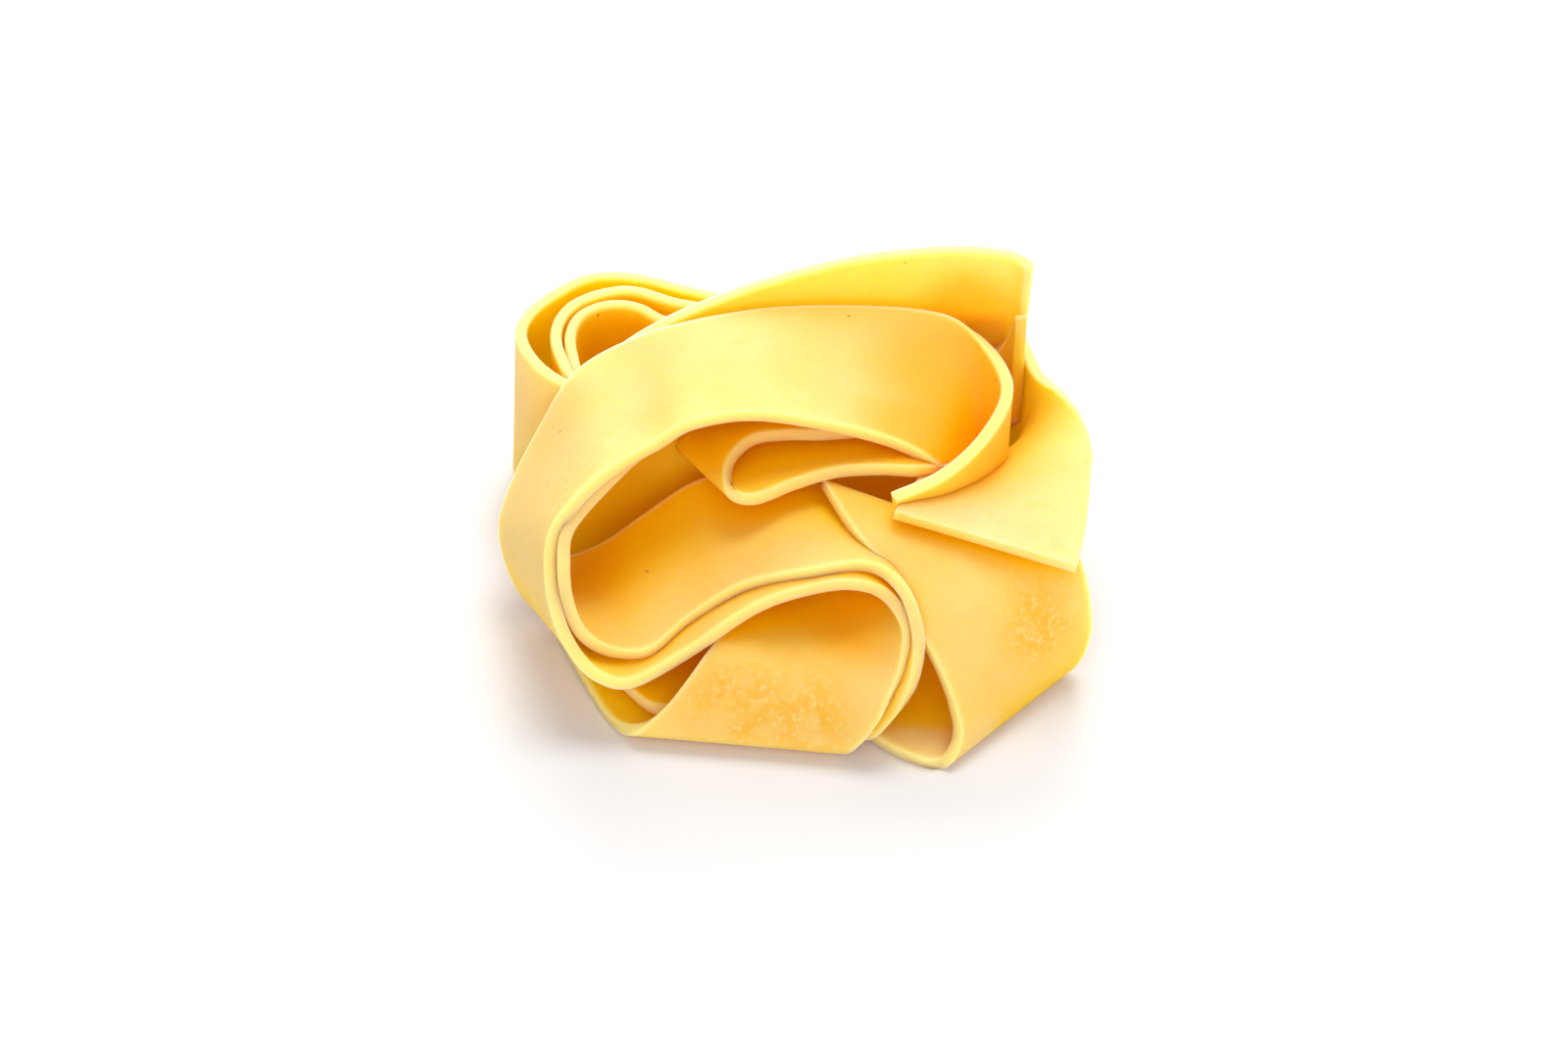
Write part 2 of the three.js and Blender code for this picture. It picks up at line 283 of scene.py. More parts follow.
TUCKED_END: list[Row] = [
    (26.8, 19.4, 28.6, 0),
    (26.4, 20.8, 26.5, 0),
    (24.5, 21.8, 22, 0),
    (20, 22.3, 18, 0),
]


class Wire:
    """An output socket of a node that can be used in ordinary expressions."""

    def __init__(self, graph: "Graph", socket: bpy.types.NodeSocket) -> None:
        """Keeps the socket and the graph that it belongs to."""
        self.graph = graph
        self.socket = socket

    @property
    def is_vector(self) -> bool:
        """Whether the socket carries three numbers."""
        return self.socket.type == "VECTOR"

    def _join(self, operation: str, other: Any, swapped: bool = False) -> "Wire":
        """Adds the node for one operator.

        Args:
            operation: The name of the operation.
            other: The other operand, a wire or plain numbers.
            swapped: Whether the other operand comes first.

        Returns:
            The wire that carries the result.
        """
        first, second = (other, self) if swapped else (self, other)
        vectors = [_carries_vector(first), _carries_vector(second)]
        if not any(vectors):
            return self.graph.math(operation, first, second)
        if operation == "MULTIPLY" and not all(vectors):
            vector, number = (first, second) if vectors[0] else (second, first)
            return self.graph.vector("SCALE", vector, Scale=number)
        return self.graph.vector(operation, first, second)

    def __add__(self, other: Any) -> "Wire":
        """Sum."""
        return self._join("ADD", other)

    def __radd__(self, other: Any) -> "Wire":
        """Sum, with the wire second."""
        return self._join("ADD", other, swapped=True)

    def __sub__(self, other: Any) -> "Wire":
        """Difference."""
        return self._join("SUBTRACT", other)

    def __rsub__(self, other: Any) -> "Wire":
        """Difference, with the wire second."""
        return self._join("SUBTRACT", other, swapped=True)

    def __mul__(self, other: Any) -> "Wire":
        """Product."""
        return self._join("MULTIPLY", other)

    def __rmul__(self, other: Any) -> "Wire":
        """Product, with the wire second."""
        return self._join("MULTIPLY", other, swapped=True)

    def __truediv__(self, other: Any) -> "Wire":
        """Quotient."""
        return self._join("DIVIDE", other)

    def __rtruediv__(self, other: Any) -> "Wire":
        """Quotient, with the wire second."""
        return self._join("DIVIDE", other, swapped=True)

    def __abs__(self) -> "Wire":
        """Distance from zero."""
        return self.graph.math("ABSOLUTE", self)


def _carries_vector(value: Any) -> bool:
    """Whether a wire or a plain value is a vector."""
    return value.is_vector if isinstance(value, Wire) else isinstance(value, (tuple, Vector))


class Graph:
    """Adds nodes to one tree and links them up."""

    def __init__(self, tree: bpy.types.NodeTree) -> None:
        """Starts from an empty tree."""
        self.tree = tree
        tree.nodes.clear()

    def node(
        self,
        kind: str,
        settings: Mapping[str, Any] | None = None,
        inputs: Mapping[str | int, Any] | None = None,
        output: str | int | None = 0,
    ) -> Wire | None:
        """Adds one node.

        Args:
            kind: The node's type name.
            settings: The node's own options, set before its sockets.
            inputs: A value or a wire for each named or numbered input.
            output: The output that is wanted, or None at the end of a tree.

        Returns:
            The wire of that output, or None.
        """
        node = self.tree.nodes.new(kind)
        for name, value in (settings or {}).items():
            setattr(node, name, value)
        for key, value in (inputs or {}).items():
            self.feed(node.inputs[key], value)
        return None if output is None else Wire(self, node.outputs[output])

    def feed(self, socket: bpy.types.NodeSocket, value: Any) -> None:
        """Gives an input a link or a plain value.

        Args:
            socket: The input.
            value: A wire, or the plain value.
        """
        if isinstance(value, Wire):
            self.tree.links.new(value.socket, socket)
        else:
            socket.default_value = value

    def math(self, operation: str, *values: Any) -> Wire:
        """Adds a Math node for plain numbers."""
        return self.node("ShaderNodeMath", {"operation": operation}, dict(enumerate(values)))

    def vector(self, operation: str, *values: Any, output: int | str = 0, **named: Any) -> Wire:
        """Adds a Vector Math node."""
        inputs = {**dict(enumerate(values)), **named}
        return self.node("ShaderNodeVectorMath", {"operation": operation}, inputs, output)

    def part(self, vector: Wire, axis: str) -> Wire:
        """Reads one number of a vector, named by its axis."""
        return self.node("ShaderNodeSeparateXYZ", inputs={0: vector}, output=axis)

    def join(self, x: Any, y: Any, z: Any) -> Wire:
        """Joins three numbers into a vector."""
        return self.node("ShaderNodeCombineXYZ", inputs={0: x, 1: y, 2: z})

    def blend(self, share: Any, low: Colour | Wire, high: Colour | Wire) -> Wire:
        """Mixes two colours.

        Args:
            share: How much of the second colour there is, from 0 to 1.
            low: The colour at 0.
            high: The colour at 1.

        Returns:
            The wire of the mixed colour.
        """
        node = self.tree.nodes.new("ShaderNodeMix")
        node.data_type = "RGBA"
        self.feed(node.inputs["Factor"], share)
        for name, colour in (("A", low), ("B", high)):
            socket = next(s for s in node.inputs if s.name == name and s.type == "RGBA")
            self.feed(socket, colour if isinstance(colour, Wire) else (*colour, 1.0))
        return Wire(self, next(s for s in node.outputs if s.type == "RGBA"))

    def ease(self, value: Wire, start: float, end: float) -> Wire:
        """Turns a value into a smooth step.

        Args:
            value: The value.
            start: The value that gives 0.
            end: The value that gives 1.

        Returns:
            The wire of the step.
        """
        settings = {"interpolation_type": "SMOOTHSTEP"}
        inputs = {"Value": value, "From Min": start, "From Max": end}
        return self.node("ShaderNodeMapRange", settings, inputs)


@dataclass(frozen=True)
class Noise:
    """Soft noise between 0 and 1.

    scale is how many lumps there are to a metre, detail how many finer layers are added, and rough
    how strong those are.
    """

    scale: float | Wire
    detail: float = 2.0
    rough: float = 0.5

    def at(self, graph: Graph, place: Wire) -> Wire:
        """Reads the noise at a place."""
        inputs = {"Vector": place, "Scale": self.scale, "Detail": self.detail, "Roughness": self.rough}
        return graph.node("ShaderNodeTexNoise", {"noise_dimensions": "3D"}, inputs, "Fac")

    def swing(self, graph: Graph, place: Wire) -> Wire:
        """Reads the noise at a place as a swing between -1 and 1."""
        return (self.at(graph, place) - 0.5) * 2.0


@dataclass(frozen=True)
class Mask(Noise):
    """Soft noise that is cut to a mask, 0 below its start and 1 above its end."""

    start: float = 0.0
    end: float = 1.0

    def at(self, graph: Graph, place: Wire) -> Wire:
        """Reads the mask at a place."""
        return graph.ease(super().at(graph, place), self.start, self.end)


@dataclass(frozen=True)
class Tint:
    """A colour that is laid over others, and how much of it shows where it lies."""

    colour: Colour
    share: float = 1.0

    def over(self, graph: Graph, under: Wire, where: Wire) -> Wire:
        """Lays the tint over a colour.

        Args:
            graph: The material's graph.
            under: The colour below.
            where: 1 where the tint lies and 0 where it doesn't.

        Returns:
            The wire of the new colour.
        """
        return graph.blend(where * self.share, under, self.colour)


@dataclass(frozen=True)
class Patch:
    """A round place on the dough, in metres. It fades out from its core, a share of its reach."""

    middle: Place
    reach: float
    core: float = 0.25

    def at(self, graph: Graph, place: Wire) -> Wire:
        """Finds how near a place is, from 1 in the core to 0 past the reach."""
        away = graph.vector("DISTANCE", place, self.middle, output="Value")
        return 1.0 - graph.ease(away, self.reach * self.core, self.reach)


@dataclass(frozen=True)
class PaintedFoldShade:
    """Painted shade: the dough is laid deeper orange where it lies deep in the folds, as found by
    occlusion.

    The foot of the front fold, near the floor, is left out of the painted shade. Sizes are metres.
    """

    reach: float = 0.018
    rays: int = 4
    openness: Span = (0.4, 1.05)
    foot_height: Span = (0.001, 0.006)
    foot_front: Span = (-0.0290, -0.0255)
    foot_share: float = 0.7

    def at(self, graph: Graph, place: Wire) -> Wire:
        """Finds how deep in the folds a place is, for the painted shade.

        Args:
            graph: The material's graph.
            place: The place on the piece.

        Returns:
            The wire: 0 in the open and 1 deep in a fold.
        """
        inputs = {"Distance": self.reach}
        openness = graph.node("ShaderNodeAmbientOcclusion", {"samples": self.rays}, inputs, "AO")
        low = 1.0 - graph.ease(graph.part(place, "Z"), *self.foot_height)
        front = 1.0 - graph.ease(graph.part(place, "Y"), *self.foot_front)
        return 1.0 - graph.ease(openness + low * front * self.foot_share, *self.openness)


@dataclass(frozen=True)
class Relief:
    """The fine relief of the dough: its grain, its dimples and the marks of the roller."""

    grain: Noise = Noise(2600.0, 3.0, 0.65)
    grain_height: float = 0.35
    dimples: Noise = Noise(700.0, 3.0, 0.55)
    dimple_height: float = 0.9
    streaks: Noise = Noise(8.0, 3.0)
    streak_stretch: Place = (3.0, 22.0, 1.0)
    streak_height: float = 0.4
    strength: float = 0.35
    depth: float = 0.00025

    def build(self, graph: Graph, place: Wire, strip: Wire) -> Wire:
        """Works out the relief.

        Args:
            graph: The material's graph.
            place: The place on the piece.
            strip: The place along and across the ribbon.

        Returns:
            The wire of the surface's direction.
        """
        grain = self.grain.at(graph, place) * self.grain_height
        dimples = self.dimples.at(graph, place) * self.dimple_height
        streaks = self.streaks.at(graph, strip * self.streak_stretch) * self.streak_height
        return graph.node("ShaderNodeBump", inputs={
            "Strength": self.strength,
            "Distance": self.depth,
            "Height": grain + dimples + streaks,
        })


@dataclass(frozen=True)
class DoughFinish:
    """Dry egg dough: warm yellow, matte and slightly see-through, with paler rims and scuffs.

    The rims are partly painted highlight, the folds and some patches get painted shade, and the dough has
    a faint painted glow. The colours are linear, as Blender holds them, and sizes are metres.
    """

    name: str
    face: Colour = (0.99, 0.57, 0.16)
    pale: Colour = (0.99, 0.61, 0.21)
    pale_areas: Mask = Mask(85.0, 3.0, start=0.35, end=0.7)
    deep: Tint = Tint((0.98, 0.49, 0.09), 0.35)
    deep_areas: Mask = Mask(330.0, 4.0, 0.6, start=0.52, end=0.75)
    # Painted shade: the deeper orange that is laid deep in the folds.
    painted_shade: Tint = Tint((0.98, 0.52, 0.0))
    painted_shade_depth: PaintedFoldShade = PaintedFoldShade()
    # Paler cut edges: partly the rough cut and partly painted highlight, where light shines through the
    # thin edge.
    pale_rim_highlight: Tint = Tint((1.0, 0.77, 0.25), 0.75)
    rim_highlight_depth: float = 0.0009

    # Cloudy places where the dough was rubbed, with pale flecks in them.
    worn: Tint = Tint((0.97, 0.42, 0.02), 0.75)
    worn_clouds: Mask = Mask(260.0, 3.0, 0.6, start=0.3, end=0.6)
    rubbed: tuple[Patch, ...] = (
        Patch((-0.0060, -0.0275, 0.0055), 0.0085),
        Patch((0.0015, -0.0285, 0.0050), 0.0085),
        Patch((0.0270, -0.0185, 0.0105), 0.0080),
    )
    scuff: Tint = Tint((0.99, 0.86, 0.50), 0.5)
    flecks: Mask = Mask(1300.0, 4.0, 0.75, start=0.5, end=0.68)

    # Places that have only the flecks, and fainter. The dust is the few flecks everywhere else.
    dusted: tuple[Patch, ...] = (
        Patch((-0.0268, -0.0110, 0.0220), 0.0070),
        Patch((-0.0235, -0.0080, 0.0250), 0.0060),
    )
    dusted_share: float = 0.7
    dust: Mask = Mask(60.0, start=0.6, end=0.8)
    dust_share: float = 0.15

    # Painted shade: deeper orange patches round the arch's turn, under the crest, and where the back
    # wall meets the arch, where shade falls.
    painted_patch_shade: Tint = Tint((0.98, 0.38, 0.0), 0.7)
    painted_shade_patches: tuple[Patch, ...] = (
        Patch((0.0200, 0.0010, 0.0210), 0.0140),
        Patch((0.0185, 0.0075, 0.0265), 0.0140),
        Patch((0.0145, -0.0015, 0.0240), 0.0110),
        Patch((0.0085, -0.0200, 0.0105), 0.0090),
        Patch((0.0210, 0.0195, 0.0265), 0.0085),
    )

    bran: Tint = Tint((0.32, 0.17, 0.05), 0.7)
    speck_scale: float = 150.0
    speck_edge: Span = (0.022, 0.04)

    relief: Relief = Relief()
    roughness: float = 0.5
    roughness_swing: float = 0.1
    roughness_areas: Noise = Noise(240.0, 3.0)
    refraction: float = 1.45
    specular: float = 0.1
    translucency: float = 1.0
    scatter_radius: Colour = (0.45, 0.6, 0.28)
    scatter_scale: float = 0.008
    # Painted glow: a faint warm emission over all the dough, which lifts the shaded hollows.
    painted_glow: Colour = (1.0, 0.12, 0.0)
    painted_glow_strength: float = 0.035

    def build(self) -> bpy.types.Material:
        """Makes the material.

        Returns:
            The finished material.
        """
        material = bpy.data.materials.new(self.name)
        material.use_nodes = True
        graph = Graph(material.node_tree)
        place = graph.node("ShaderNodeTexCoord", output="Object")
        strip = graph.node("ShaderNodeAttribute", {"attribute_name": STRIP_MAP}, output="Vector")
        swing = self.roughness_areas.swing(graph, place) * self.roughness_swing
        shader = graph.node("ShaderNodeBsdfPrincipled", inputs={
            "Base Color": self._colour(graph, place, strip),
            "Roughness": self.roughness + swing,
            "Normal": self.relief.build(graph, place, strip),
            "IOR": self.refraction,
            "Specular IOR Level": self.specular,
            # Painted glow: a faint warm emission.
            "Emission Color": (*self.painted_glow, 1.0),
            "Emission Strength": self.painted_glow_strength,
            "Subsurface Weight": self.translucency,
            "Subsurface Radius": self.scatter_radius,
            "Subsurface Scale": self.scatter_scale,
        })
        graph.node("ShaderNodeOutputMaterial", inputs={"Surface": shader}, output=None)
        return material

    def _colour(self, graph: Graph, place: Wire, strip: Wire) -> Wire:
        """Works out the colour over the surface.

        Args:
            graph: The material's graph.
            place: The place on the piece.
            strip: The place along and across the ribbon.

        Returns:
            The wire of the colour.
        """
        colour = graph.blend(self.pale_areas.at(graph, place), self.face, self.pale)
        colour = self.deep.over(graph, colour, self.deep_areas.at(graph, place))
        rubbed = self._near(graph, place, self.rubbed) * self.worn_clouds.at(graph, place)
        colour = self.worn.over(graph, colour, rubbed)
        # Painted shade: deeper orange deep in the folds.
        colour = self.painted_shade.over(graph, colour, self.painted_shade_depth.at(graph, place))
        # Painted shade: deeper orange patches where shade falls.
        colour = self.painted_patch_shade.over(graph, colour, self._near(graph, place, self.painted_shade_patches))
        # Paler cut edges, partly painted highlight.
        colour = self.pale_rim_highlight.over(graph, colour, self._rim_highlight(graph, strip))
        colour = self.scuff.over(graph, colour, self._scuffs(graph, place, rubbed))
        return self.bran.over(graph, colour, self._specks(graph, place))

    def _near(self, graph: Graph, place: Wire, patches: Sequence[Patch]) -> Wire:
        """Finds how near a place is to the nearest of some patches.

        Args:
            graph: The material's graph.
            place: The place on the piece.
            patches: The patches.

        Returns:
            The wire: 1 in the core of a patch and 0 outside them all.
        """
        nearest: Wire | float = 0.0
        for patch in patches:
            nearest = graph.math("MAXIMUM", nearest, patch.at(graph, place))
        return nearest

    def _rim_highlight(self, graph: Graph, strip: Wire) -> Wire:
        """Finds the two cut edges of a ribbon, for the pale rim that is partly painted highlight."""
        start = MAP_EDGE - self.rim_highlight_depth / (RIBBON_WIDTH * MM)
        return graph.ease(abs(graph.part(strip, "Y")), start, MAP_EDGE)

    def _scuffs(self, graph: Graph, place: Wire, rubbed: Wire) -> Wire:
        """Finds the pale flecks: many in the rubbed places, and a few elsewhere.

        Args:
            graph: The material's graph.
            place: The place on the piece.
            rubbed: How rubbed the place is.

        Returns:
            The wire of the flecks.
        """
        dust = self.dust.at(graph, place) * self.dust_share
        dusted = self._near(graph, place, self.dusted) * self.dusted_share
        most = graph.math("MAXIMUM", rubbed, graph.math("MAXIMUM", dusted, dust))
        return most * self.flecks.at(graph, place)

    def _specks(self, graph: Graph, place: Wire) -> Wire:
        """Finds the few tiny dark specks of bran.

        Args:
            graph: The material's graph.
            place: The place on the piece.

        Returns:
            The wire: 1 on a speck and 0 between them.
        """
        settings = {"voronoi_dimensions": "3D", "feature": "F1"}
        inputs = {"Vector": place, "Scale": self.speck_scale}
        away = graph.node("ShaderNodeTexVoronoi", settings, inputs, "Distance")
        return 1.0 - graph.ease(away, *self.speck_edge)


class StripTree:
    """The Geometry Nodes tree that lays a strip between two edge curves."""

    INPUTS: tuple[tuple[str, str, Any], ...] = (
        ("Geometry", "NodeSocketGeometry", None),
        ("Rows per station", "NodeSocketInt", 12),
        ("Columns", "NodeSocketInt", 25),
        ("Length", "NodeSocketFloat", 0.3),
        ("Ripple height", "NodeSocketFloat", 0.0002),
        ("Ripple scale", "NodeSocketFloat", 70.0),
        ("Ragged depth", "NodeSocketFloat", 0.0001),
        ("Ragged scale", "NodeSocketFloat", 420.0),
        ("Seed", "NodeSocketFloat", 0.0),
        ("Dough", "NodeSocketMaterial", None),
    )
    RAGGED_DETAIL = 3.0

    def __init__(self) -> None:
        """Builds the tree once, for all ribbons."""
        self.tree = bpy.data.node_groups.new("strip_between_two_edges", "GeometryNodeTree")
        self.graph = Graph(self.tree)
        self.identifiers: dict[str, str] = {}
        for name, kind, default in self.INPUTS:
            item = self.tree.interface.new_socket(name, in_out="INPUT", socket_type=kind)
            self.identifiers[name] = item.identifier
            if default is not None:
                item.default_value = default
        self.tree.interface.new_socket("Geometry", in_out="OUTPUT", socket_type="NodeSocketGeometry")
        self.entry = self.tree.nodes.new("NodeGroupInput")
        self._build()

    def _input(self, name: str) -> Wire:
        """Returns the wire of one of the tree's named inputs."""
        return Wire(self.graph, self.entry.outputs[name])

    def _build(self) -> None:
        """Joins the steps of the tree: lay the strip, ripple it, smooth it and dress it."""
        graph = self.graph
        points = self._edge_points()
        rows = graph.node("GeometryNodeAttributeDomainSize", {"component": "POINTCLOUD"}, {0: points})
        sizes = {"Size X": 1.0, "Size Y": 1.0, "Vertices X": rows, "Vertices Y": self._input("Columns")}
        grid = graph.node("GeometryNodeMeshGrid", inputs=sizes)
        position = graph.node("GeometryNodeInputPosition")
        along = graph.part(position, "X") + MAP_EDGE
        across = graph.part(position, "Y") + MAP_EDGE
        row = graph.math("ROUND", along * (rows - 1.0))
        length = along * self._input("Length")
        strip = self._map(grid, length, across)
        strip = self._lay(strip, self._sample(points, row), self._share(length, across))
        strip = self._ripple(strip, length, across)
        strip = graph.node("GeometryNodeSetShadeSmooth", inputs={"Geometry": strip, "Shade Smooth": True})
        strip = graph.node("GeometryNodeRealizeInstances", inputs={"Geometry": strip})
        dress = {"Geometry": strip, "Material": self._input("Dough")}
        graph.node("NodeGroupOutput", inputs={
            0: graph.node("GeometryNodeSetMaterial", inputs=dress)}, output=None)

    def _edge_points(self) -> Wire:
        """Turns the guide into points along a smooth curve that also carry the far edge.

        Returns:
            The wire of the points.
        """
        graph = self.graph
        curve = graph.node("GeometryNodeMeshToCurve", inputs={"Mesh": self._input("Geometry")})
        curve = graph.node("GeometryNodeCurveSplineType", {"spline_type": "CATMULL_ROM"}, {"Curve": curve})
        curve = graph.node("GeometryNodeSetSplineResolution", inputs={
            0: curve, "Resolution": self._input("Rows per station")})
        return graph.node("GeometryNodeCurveToPoints", {"mode": "EVALUATED"}, {"Curve": curve})

    def _sample(self, points: Wire, row: Wire) -> tuple[Wire, Wire]:
        """Reads the two ends of a row.

        Args:
            points: The points along the near edge.
            row: The number of the row.

        Returns:
            The wires of its near and its far end.
        """
        graph = self.graph
        kind = {"data_type": "FLOAT_VECTOR"}
        position = graph.node("GeometryNodeInputPosition")
        far_edge = graph.node("GeometryNodeInputNamedAttribute", kind, {"Name": FAR_EDGE})
        settings = {**kind, "domain": "POINT", "clamp": True}
        near, far = (
            graph.node("GeometryNodeSampleIndex", settings, {
                "Geometry": points, "Value": value, "Index": row})
            for value in (position, far_edge))
        return near, far

    def _map(self, grid: Wire, length: Wire, across: Wire) -> Wire:
        """Notes on each point how far along and across the ribbon it is.

        Args:
            grid: The flat grid of rows and columns.
            length: The distance along the ribbon.
            across: The share of the width, from 0 to 1.

        Returns:
            The wire of the grid with its map.
        """
        settings = {"data_type": "FLOAT_VECTOR", "domain": "POINT"}
        value = self.graph.join(length, across - MAP_EDGE, self._input("Seed"))
        inputs = {"Geometry": grid, "Name": STRIP_MAP, "Value": value}
        return self.graph.node("GeometryNodeStoreNamedAttribute", settings, inputs)

    def _share(self, length: Wire, across: Wire) -> Wire:
        """Works out how far across its row a point goes, with the cut edges a little ragged.

        Args:
            length: The distance along the ribbon.
            across: The share of the width, from 0 to 1.

        Returns:
            The wire of the share, 0 at the near end of the row and 1 at the far end.
        """
        place = self.graph.join(length, across, self._input("Seed"))
        ragged = Noise(self._input("Ragged scale"), self.RAGGED_DETAIL).swing(self.graph, place)
        stretch = 1.0 + ragged * self._input("Ragged depth") / (RIBBON_WIDTH * MM / 2.0)
        side = (across - 0.5) * 2.0
        return side * stretch * 0.5 + 0.5

    def _lay(self, grid: Wire, ends: tuple[Wire, Wire], share: Wire) -> Wire:
        """Lays the grid between the two edges.

        Args:
            grid: The grid.
            ends: The near and the far end of each point's row.
            share: How far a point goes from the near end to the far end.

        Returns:
            The wire of the laid strip.
        """
        near, far = ends
        place = near + (far - near) * share
        return self.graph.node("GeometryNodeSetPosition", inputs={"Geometry": grid, "Position": place})

    def _ripple(self, strip: Wire, length: Wire, across: Wire) -> Wire:
        """Moves the strip in and out a little.

        The fields for the length and the width are read again here, on the laid strip, so the noise
        follows where the strip lies in the nest.

        Args:
            strip: The laid strip.
            length: The field for the length.
            across: The field for the width.

        Returns:
            The wire of the rippled strip.
        """
        graph = self.graph
        place = graph.join(length, across * (RIBBON_WIDTH * MM), self._input("Seed"))
        ripple = Noise(self._input("Ripple scale")).swing(graph, place)
        offset = graph.node("GeometryNodeInputNormal") * (ripple * self._input("Ripple height"))
        return graph.node("GeometryNodeSetPosition", inputs={"Geometry": strip, "Offset": offset})


class Lay(Enum):
    """How the rows of a route list are read."""

    EDGE_TO_EDGE = "near point, then far point"
    ON_EDGE = "top point, then lean"


@dataclass
class Ribbon:
    """One ribbon of the nest. Sizes are millimetres, and the rim's angle is degrees."""

    name: str
    route: list[Row]
    lay: Lay = Lay.EDGE_TO_EDGE
    width: float = RIBBON_WIDTH
    seed: float = 0.0
    ripple_height: float = 0.2
    ragged_depth: float = 0.1
    rim_radius: float = 0.42
    rim_segments: int = 3
    rim_angle: float = 50.0
    # Whether the ribbon gets the paler copy of the dough, which is painted light.
    is_painted_lit: bool = False

    def edges(self) -> tuple[list[Vector], list[Vector]]:
        """Works out the near and the far edge. On a ribbon that stands, the far edge is the top one.

        Returns:
            The points of each edge, in metres.
        """
        first = [Vector(row[:3]) * MM for row in self.route]
        if self.lay is Lay.ON_EDGE:
            return [self._foot(*row) for row in self.route], first
        return first, [Vector(row[3:]) * MM for row in self.route]

    def _foot(self, x: float, y: float, z: float, lean: float) -> Vector:
        """Finds the point of the bottom edge under a point of the top edge, in metres."""
        drop = math.sqrt(self.width**2 - lean**2)
        return Vector((x - lean, y, z - drop)) * MM

    def guide(self) -> bpy.types.Object:
        """Makes the guide: a chain along the near edge whose points carry the far edge.

        Returns:
            The guide, ready for the Geometry Nodes tree.
        """
        near, far = self.edges()
        mesh = bpy.data.meshes.new(self.name)
        mesh.from_pydata(near, [(i, i + 1) for i in range(len(near) - 1)], [])
        attribute = mesh.attributes.new(FAR_EDGE, "FLOAT_VECTOR", "POINT")
        for item, point in zip(attribute.data, far):
            item.vector = point
        guide = bpy.data.objects.new(self.name, mesh)
        bpy.context.collection.objects.link(guide)
        return guide

    def length(self) -> float:
        """Works out the length along the middle of the ribbon.

        Returns:
            The length in metres.
        """
        near, far = self.edges()
        middle = [(a + b) / 2.0 for a, b in zip(near, far)]
        return sum((b - a).length for a, b in zip(middle, middle[1:]))

    def build(self, tree: StripTree, dough: bpy.types.Material) -> bpy.types.Object:
        """Makes the ribbon as a plain mesh.

        Args:
            tree: The tree that lays the strip.
            dough: The material.

        Returns:
            The ribbon.
        """
        piece = self.guide()
        strip = piece.modifiers.new("strip", "NODES")
        strip.node_group = tree.tree
        values = {
            "Length": self.length(),
            "Ripple height": self.ripple_height * MM,
            "Ragged depth": self.ragged_depth * MM,
            "Seed": self.seed,
            "Dough": dough,
        }
        for name, value in values.items():
            strip[tree.identifiers[name]] = value
        body = piece.modifiers.new("thickness", "SOLIDIFY")
        body.thickness = RIBBON_THICKNESS * MM
        body.offset = 0.0
        body.use_even_offset = False
        round_edges(piece, self.rim_radius, self.rim_segments, self.rim_angle)
        return flatten(piece)


def round_edges(piece: bpy.types.Object, radius: float, segments: int, angle: float) -> None:
    """Rounds the sharp edges of a piece.

    Args:
        piece: The piece.
        radius: The radius of the rounding, in millimetres.
        segments: How many faces the rounding has.
        angle: The angle above which an edge is sharp, in degrees.
    """
    rounding = piece.modifiers.new("rounding", "BEVEL")
    rounding.width = radius * MM
    rounding.segments = segments
    rounding.limit_method = "ANGLE"
    rounding.angle_limit = math.radians(angle)


def flatten(piece: bpy.types.Object) -> bpy.types.Object:
    """Turns a piece's modifiers into its mesh.

    Args:
        piece: The piece with live modifiers.

    Returns:
        The same piece with a plain mesh and no modifiers.
    """
    graph = bpy.context.evaluated_depsgraph_get()
    evaluated = piece.evaluated_get(graph)
    mesh = bpy.data.meshes.new_from_object(evaluated, preserve_all_data_layers=True, depsgraph=graph)
    old = piece.data
    piece.modifiers.clear()
    piece.data = mesh
    bpy.data.meshes.remove(old)
    mesh.name = piece.name
    return piece


@dataclass
class CoreLump:
    """A plain upright lump of the core, its outline between an ellipse and a box.

    Sizes are millimetres. The foot and the height are both measured from the ground.
    """

    x: float
    y: float
    half_length: float
    half_depth: float
    height: float
    foot: float = 0.0
    squareness: float = 0.55
    points: int = 64

    def outline(self) -> list[tuple[float, float]]:
        """Works out the outline, which bulges like an ellipse that was pulled towards its corners.

        Returns:
            The points of the outline.
        """
        outline = []
        for index in range(self.points):
            angle = 2.0 * math.pi * index / self.points
            across, deep = (
                math.copysign(abs(reach) ** self.squareness, reach)
                for reach in (math.cos(angle), math.sin(angle)))
            outline.append((self.x + self.half_length * across, self.y + self.half_depth * deep))
        return outline

    def add_to(self, shape: bmesh.types.BMesh) -> None:
        """Adds the lump to a shape.

        Args:
            shape: The shape.
        """
        low, high = (
            [shape.verts.new((x * MM, y * MM, z * MM)) for x, y in self.outline()]
            for z in (self.foot, self.height))
        for index in range(self.points):
            after = (index + 1) % self.points
            shape.faces.new((low[index], low[after], high[after], high[index]))
        shape.faces.new(list(reversed(low)))
        shape.faces.new(high)


